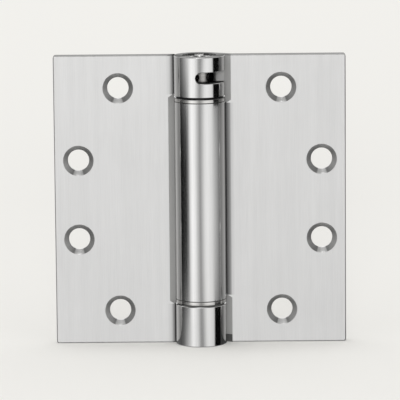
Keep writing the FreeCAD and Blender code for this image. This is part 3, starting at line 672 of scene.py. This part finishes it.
# Turned steel pieces: the same recipe, each with its own colours and lathe marks, and painted shade in the
# bore, at the joints and on the sides
# Pieces with no painted shade in a bore or at joints, and only a little on their sides
plainAllOver = {"bore": 0.0, "boreDark": 1.0, "joints": [], "side": 0.8}
turnedLooks = {
    "ringSteel": {
        "pieces": ("upper_bearing", "lower_bearing"),
        "dark": (0.62, 0.61, 0.59), "light": (0.88, 0.87, 0.85),
        "rings": 1900.0, "roughness": 0.10, "depth": 0.000004, "bore": 0.0094, "boreDark": 0.15,
        "joints": [(0.03915, 0.00022), (-0.03915, 0.00022), (0.04057, 0.00014)], "side": 0.56,
    },
    "collarSteel": {
        "pieces": ("tension_collar",),
        "dark": (0.30, 0.29, 0.28), "light": (0.62, 0.61, 0.59),
        "rings": 1500.0, "roughness": 0.27, "depth": 0.00001, "bore": 0.00647, "boreDark": 0.02,
        "joints": [(0.0470, 0.0005)], "side": 0.08, "halfWidth": 0.01,
        # Painted shadow across the collar, dark towards both ends of the slot
        "across": [(-0.0008, 0.10), (0.0003, 0.55), (0.0010, 1.0), (0.0019, 0.95), (0.0027, 0.20)],
    },
    "spindleSteel": {
        "pieces": ("spring_spindle", "lower_pivot", "spring_anchor"),
        "dark": (0.34, 0.33, 0.32), "light": (0.60, 0.59, 0.57),
        "rings": 1300.0, "roughness": 0.3, "depth": 0.00001, **plainAllOver,
    },
    "plugSteel": {
        "pieces": ("top_end_plug", "bottom_end_plug"),
        "dark": (0.60, 0.595, 0.585), "light": (0.84, 0.835, 0.82),
        "rings": 1100.0, "roughness": 0.24, "depth": 0.000008, "bore": 0.00312, "boreDark": 0.1,
        "joints": [], "side": 0.8,
    },
    "pinSteel": {
        "pieces": ("anchor_pin", "pivot_pin"),
        "dark": (0.42, 0.41, 0.40), "light": (0.66, 0.65, 0.63),
        "rings": 2400.0, "roughness": 0.28, "depth": 0.000008, **plainAllOver,
    },
    "clipSteel": {
        "pieces": ("spindle_retaining_ring", "pivot_retaining_ring"),
        "dark": (0.10, 0.10, 0.105), "light": (0.24, 0.24, 0.25),
        "rings": 1700.0, "roughness": 0.38, "depth": 0.000008, **plainAllOver,
    },
    "springSteel": {
        "pieces": ("torsion_spring",),
        "dark": (0.12, 0.12, 0.125), "light": (0.33, 0.33, 0.34),
        "rings": 800.0, "roughness": 0.34, "depth": 0.000012, **plainAllOver,
    },
}
turnedFinish = {
    "cloudSize": 160.0,
    "cloudAmount": 0.6,
    "cloudShare": 0.8,
    "roughnessSpread": 0.16,
    "bump": 0.4,
}


def makeTurnedSteel(name, look, finish):
    material, tree, shader = startMaterial(name)
    shader.inputs["Metallic"].default_value = 1.0
    rings = addGroup(tree, (0, 0), turnedRings, Rings=look["rings"]).outputs["Tone"]
    clouds = addGroup(tree, (0, 2), softClouds, Size=finish["cloudSize"], Amount=finish["cloudAmount"])
    clouds = clouds.outputs["Tone"]
    # Painted shade in the bore, at the joints, on the sides and, on the collar, across it
    bore = addGroup(tree, (0, 3), boreShade, Reach=look["bore"], Dark=look["boreDark"])
    joint = addJoints(tree, (0, 6), look["joints"], leafLook["jointDark"])
    sides = addGroup(tree, (0, 5), sideShade, Dark=look["side"])
    shades = [bore.outputs["Shade"], joint, sides.outputs["Shade"]]
    if "across" in look:
        side = readPlace(tree, (0, 8))[0]
        shades.append(addTones(tree, (2, 8), side, look["across"], -look["halfWidth"], look["halfWidth"]))
    shade = multiplyAll(tree, (4, 2), shades)
    mask = mixTones(tree, rings, clouds, finish["cloudShare"])
    color = blendColors(tree, (4, 0), mask, look["dark"], look["light"])
    roughness = varyRoughness(tree, (3, 3), clouds, look["roughness"], finish["roughnessSpread"])
    joinUp(
        tree,
        (shadeColor(tree, color, shade), shader.inputs["Base Color"]),
        (roughness, shader.inputs["Roughness"]),
    )
    addBump(tree, shader, rings, look["depth"], finish["bump"])
    return material


for name, look in turnedLooks.items():
    dress(makeTurnedSteel(name, look, turnedFinish), *look["pieces"])
print("turned steel dressed")


# Moulded washers. The upper thrust washer is near black and the lower one grey: the difference is painted
# shade, deeper in the upper gap
mouldedLooks = {
    "washerBlack": {
        "pieces": ("upper_thrust_washer",),
        "dark": (0.006, 0.006, 0.006), "light": (0.014, 0.014, 0.015), "roughness": 0.5, "shine": 0.12,
    },
    "washerGrey": {
        "pieces": ("lower_thrust_washer",),
        "dark": (0.07, 0.07, 0.068), "light": (0.12, 0.12, 0.118), "roughness": 0.5, "shine": 0.3,
    },
    "washerNylon": {
        "pieces": ("upper_spring_washer", "lower_spring_washer"),
        "dark": (0.60, 0.58, 0.52), "light": (0.74, 0.72, 0.66), "roughness": 0.45, "shine": 0.5,
    },
}
mouldedFinish = {
    "cloudSize": 240.0,
    "pitSize": 2600.0,
    "pitDepth": 0.00002,
    "roughnessSpread": 0.2,
    "bump": 0.3,
}


def makeMoulded(name, look, finish):
    material, tree, shader = startMaterial(name)
    shader.inputs["Specular IOR Level"].default_value = look["shine"]
    clouds = addGroup(tree, (0, 0), softClouds, Size=finish["cloudSize"], Amount=1.0)
    pits = addGroup(tree, (0, 2), softClouds, Size=finish["pitSize"], Amount=1.0).outputs["Tone"]
    color = blendColors(tree, (3, 0), clouds.outputs["Tone"], look["dark"], look["light"])
    roughness = varyRoughness(tree, (3, 2), pits, look["roughness"], finish["roughnessSpread"])
    joinUp(tree, (color, shader.inputs["Base Color"]), (roughness, shader.inputs["Roughness"]))
    addBump(tree, shader, pits, finish["pitDepth"], finish["bump"])
    return material


for name, look in mouldedLooks.items():
    dress(makeMoulded(name, look, mouldedFinish), *look["pieces"])
print("washers dressed")


# Round faces shade smoothly and corners stay crisp
smoothing = {"mergeDistance": 0.000001, "cornerAngle": 22.0}
for node in nodes.values():
    node.data.polygons.foreach_set("use_smooth", [True] * len(node.data.polygons))
    weld = node.modifiers.new("weld", "WELD")
    weld.merge_threshold = smoothing["mergeDistance"]
    split = node.modifiers.new("corners", "EDGE_SPLIT")
    split.split_angle = math.radians(smoothing["cornerAngle"])
print("faces smoothed")


# Studio: a pale floor, a soft lamp overhead and one in front, and an even glow all round
studio = {
    "floorSize": 9.0,
    "floorColor": (0.98, 0.968, 0.938),
    # Painted light on the floor, paler towards the back
    "floorTones": [(-0.3, 0.915), (0.36, 0.900), (1.35, 0.985)],    # paler towards the back
    "floorRoughness": 0.9,
    "worldColor": (1.0, 1.0, 0.99),
    "worldLight": 0.77,
    "keySpot": (-0.1, 0.2, 2.2),
    "keySize": 0.7,
    "keyPower": 8.0,
    "frontAim": (82.0, -1.0),        # tilted up from straight down to nearly level, and from a little left
    "frontSoftness": 15.0,
    "frontPower": 1.3,
}

# What the polish mirrors, as brightness by degrees from the front towards +X. The barrel's cards stand
# at the rise that its middle mirrors in the front view, and the others begin that many degrees from it
cards = {
    "middleRise": -9.05,
    "barrel": [
        (-180, 0.25), (-152, 0.17), (-136, 0.26), (-94, 0.0), (-66, 0.0), (-55, 0.2), (-46, 0.84),
        (-36, 1.14), (-24, 0.98), (-13, 0.62), (0, 0.34), (20, 0.86), (34, 0.96), (52, 0.82),
        (98, 0.19), (106, 0.15), (143, 0.33), (165, 0.22),
    ],
    "knucklesFrom": (1.7, 2.1),
    "knuckles": [
        (-180, 0.1), (-136, 0.24), (-93, 0.15), (-82, 0.27), (-59, 0.72), (-36, 1.02), (-14, 0.8),
        (-4, 0.4), (3, 0.3), (10, 0.33), (25, 0.8), (35, 0.88), (57, 0.78), (64, 0.3), (70, 0.02),
        (160, 0.1),
    ],
    "leavesFrom": (4.5, 8.0),
    "leaves": [
        (-180, 0.85), (-145, 0.85), (-115, 0.40), (-85, 0.12), (-62, 0.60), (-40, 1.50), (0, 1.10),
        (40, 0.83), (60, 0.50), (85, 0.12), (115, 0.40), (145, 0.85),
    ],
    # How bright they all are from straight down, -90, to straight up, 90
    "heights": [
        (-90, 0.32), (-72, 0.14), (-38, 0.48), (-22, 0.72), (-9, 1.0), (8, 1.32), (24, 1.28), (45, 0.80),
        (68, 0.60), (80, 1.0), (90, 0.9),
    ],
}


def mirrorCards(tree, look, turn, rise):
    away = addMath(tree, "ABSOLUTE", (3, 5), addMath(tree, "SUBTRACT", (2, 5), rise, look["middleRise"]))
    color = addTones(tree, (3, 0), turn, look["barrel"], -180, 180)
    for row, name in enumerate(("knuckles", "leaves"), start=1):
        near, far = look[name + "From"]
        reach = addNode(tree, "ShaderNodeMapRange", (4, 3 + row), interpolation_type="SMOOTHSTEP")
        setSockets(reach, From_Min=near, From_Max=far)
        mix = addNode(tree, "ShaderNodeMix", (5, row), data_type="RGBA")
        joinUp(
            tree,
            (away, reach.inputs["Value"]),
            (reach.outputs["Result"], mix.inputs[0]),
            (color, mix.inputs[6]),
            (addTones(tree, (3, row), turn, look[name], -180, 180), mix.inputs[7]),
        )
        color = mix.outputs[2]
    shade = addNode(tree, "ShaderNodeMix", (5, 4), data_type="RGBA", blend_type="MULTIPLY")
    shade.inputs[0].default_value = 1.0
    heights = addTones(tree, (3, 6), rise, look["heights"], -90, 90)
    joinUp(tree, (color, shade.inputs[6]), (heights, shade.inputs[7]))
    return shade.outputs[2]


def makeWorld(look):
    world = bpy.data.worlds.new("studioWorld")
    world.use_nodes = True
    tree = world.node_tree
    plain = tree.nodes["Background"]
    plain.inputs["Color"].default_value = (*look["worldColor"], 1.0)
    plain.inputs["Strength"].default_value = look["worldLight"]
    place = addNode(tree, "ShaderNodeTexCoord", (-2, 2))
    parts = addNode(tree, "ShaderNodeSeparateXYZ", (-1, 2))
    forward = addMath(tree, "MULTIPLY", (0, 2), parts.outputs["Y"], -1.0)
    turn = addMath(tree, "ARCTAN2", (1, 2), parts.outputs["X"], forward)
    turn = addMath(tree, "DEGREES", (2, 2), turn)
    rise = addMath(tree, "DEGREES", (2, 4), addMath(tree, "ARCSINE", (1, 4), parts.outputs["Z"]))
    mirrored = addNode(tree, "ShaderNodeBackground", (6, 2))
    path = addNode(tree, "ShaderNodeLightPath", (6, 0))
    choose = addNode(tree, "ShaderNodeMixShader", (7, 1))
    joinUp(
        tree,
        (place.outputs["Generated"], parts.inputs[0]),
        (mirrorCards(tree, cards, turn, rise), mirrored.inputs["Color"]),
        (path.outputs["Is Glossy Ray"], choose.inputs[0]),
        (plain.outputs[0], choose.inputs[1]),
        (mirrored.outputs[0], choose.inputs[2]),
        (choose.outputs[0], tree.nodes["World Output"].inputs["Surface"]),
    )
    bpy.context.scene.world = world


def makeFloor(look):
    bpy.ops.mesh.primitive_plane_add(size=look["floorSize"], location=(0, 0, cadBox[0][2]))
    floor = bpy.context.object
    floor.name = "studioFloor"
    material, tree, shader = startMaterial("floorPaper")
    tones = look["floorTones"]
    toned = addNode(tree, "ShaderNodeVectorMath", (5, 0), operation="SCALE")
    toned.inputs[0].default_value = look["floorColor"]
    shade = addTones(tree, (2, 0), readPlace(tree, (0, 0))[1], tones, tones[0][0], tones[-1][0])
    joinUp(tree, (shade, toned.inputs["Scale"]), (toned.outputs[0], shader.inputs["Base Color"]))
    shader.inputs["Roughness"].default_value = look["floorRoughness"]
    shader.inputs["Specular IOR Level"].default_value = 0.0
    floor.data.materials.append(material)
    floor.visible_glossy = False
    bpy.ops.object.select_all(action="DESELECT")


def addLamps(look):
    key = bpy.data.lights.new("keyLamp", "AREA")
    key.shape = "DISK"
    key.size = look["keySize"]
    key.energy = look["keyPower"]
    holder = bpy.data.objects.new("keyLamp", key)
    holder.location = look["keySpot"]
    holder.rotation_euler = (-holder.location).to_track_quat("-Z", "Y").to_euler()
    bpy.context.scene.collection.objects.link(holder)
    front = bpy.data.lights.new("frontLamp", "SUN")
    front.angle = math.radians(look["frontSoftness"])
    front.energy = look["frontPower"]
    holder = bpy.data.objects.new("frontLamp", front)
    tilt, turn = look["frontAim"]
    holder.rotation_euler = (math.radians(tilt), 0.0, math.radians(turn))
    holder.visible_glossy = False
    bpy.context.scene.collection.objects.link(holder)


# Black flags close to the hinge, seen only in the polish. From the front they darken the right of
# the end knuckles, and from higher up the lower one shows low on the barrel
flags = {
    "color": (0.004, 0.004, 0.004),
    "reach": 0.1,
    "fromDegrees": 62.0,
    "toDegrees": 94.0,
    "heights": ((0.0261, 0.0500), (-0.0850, -0.0559)),
}


def addFlags(look):
    material, _, shader = startMaterial("flagCloth")
    shader.inputs["Base Color"].default_value = (*look["color"], 1.0)
    shader.inputs["Roughness"].default_value = 1.0
    shader.inputs["Specular IOR Level"].default_value = 0.0
    angles = math.radians(look["fromDegrees"]), math.radians(look["toDegrees"])
    (x1, y1), (x2, y2) = [(math.sin(a) * look["reach"], -math.cos(a) * look["reach"]) for a in angles]
    for number, (foot, top) in enumerate(look["heights"], start=1):
        bpy.ops.mesh.primitive_plane_add(size=1.0)
        flag = bpy.context.object
        flag.name = f"blackFlag{number}"
        spots = ((x1, y1, foot), (x2, y2, foot), (x1, y1, top), (x2, y2, top))
        for vertex, spot in zip(flag.data.vertices, spots):
            vertex.co = spot
        flag.data.materials.append(material)
        flag.visible_camera = False
        flag.visible_diffuse = False
        flag.visible_shadow = False
    bpy.ops.object.select_all(action="DESELECT")


makeWorld(studio)
makeFloor(studio)
addFlags(flags)
addLamps(studio)
bpy.context.scene.view_settings.view_transform = "Standard"
print("studio lit")


# A long lens a little above the hinge
view = {
    "spot": (0.0029, -1.3365, 0.2132),
    "tilt": 80.93,
    "turn": 0.13,
    "roll": -0.5,
    "lens": 310.3,
    "sensor": 36.0,
}


def makeCamera(look):
    camera = bpy.data.objects.new("camera", bpy.data.cameras.new("camera"))
    camera.data.lens = look["lens"]
    camera.data.sensor_width = look["sensor"]
    camera.location = look["spot"]
    aim = Matrix.Rotation(math.radians(look["turn"]), 3, "Z")
    aim = aim @ Matrix.Rotation(math.radians(look["tilt"]), 3, "X")
    aim = aim @ Matrix.Rotation(math.radians(look["roll"]), 3, "Z")
    camera.rotation_mode = "QUATERNION"
    camera.rotation_quaternion = aim.to_quaternion()
    bpy.context.scene.collection.objects.link(camera)
    bpy.context.scene.camera = camera


makeCamera(view)
print("camera set")
